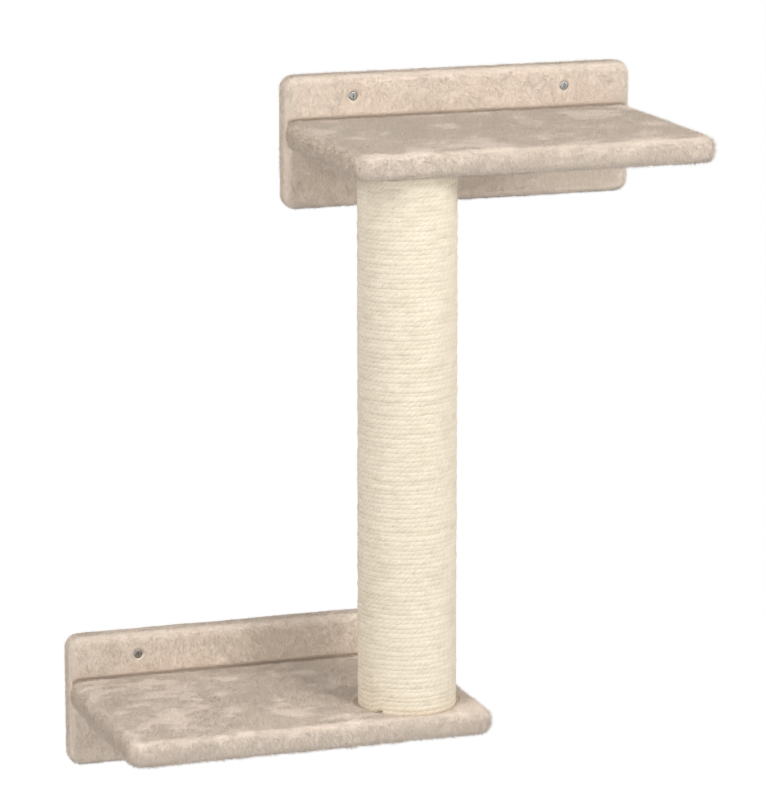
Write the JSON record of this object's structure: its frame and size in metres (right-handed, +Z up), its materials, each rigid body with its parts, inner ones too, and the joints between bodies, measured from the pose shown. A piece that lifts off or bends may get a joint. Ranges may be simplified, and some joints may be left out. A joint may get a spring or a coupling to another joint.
{
  "type": "cat climbing wall",
  "caption": "Wall-mounted cat climbing unit: plush-covered shelves on back boards, one above the other, joined by a sisal-wound scratching post.",
  "frame": {"origin": "on the wall plane, midway between the two screws that carry the upper shelf", "axes": "+X to the right along the wall, +Y into the wall, +Z up"},
  "size_m": [0.5524, 0.2762, 0.6368],
  "materials": {
    "plush": "matte",
    "sisal": "matte",
    "chipboard": "matte",
    "plug_wood": "matte",
    "cardboard": "matte",
    "zinc": "satin"
  },
  "bodies": {
    "root": {"lower_back_board": "chipboard", "lower_back_cover": "plush", "lower_plug_nails": "zinc", "lower_post_bolt": "zinc", "lower_post_nut": "zinc", "lower_post_plug": "plug_wood", "lower_post_washer": "zinc", "lower_shelf_board": "chipboard", "lower_shelf_cover": "plush", "lower_shelf_screws": "zinc", "lower_staples": "zinc", "lower_wall_screws": "zinc", "post_tube": "cardboard", "sisal_rope_1": "sisal", "sisal_rope_2": "sisal", "sisal_rope_3": "sisal", "sisal_rope_4": "sisal", "sisal_rope_5": "sisal", "upper_back_board": "chipboard", "upper_back_cover": "plush", "upper_plug_nails": "zinc", "upper_post_bolt": "zinc", "upper_post_nut": "zinc", "upper_post_plug": "plug_wood", "upper_shelf_board": "chipboard", "upper_shelf_cover": "plush", "upper_shelf_screws": "zinc", "upper_staples": "zinc", "upper_wall_screws": "zinc"}
  },
  "joints": []
}
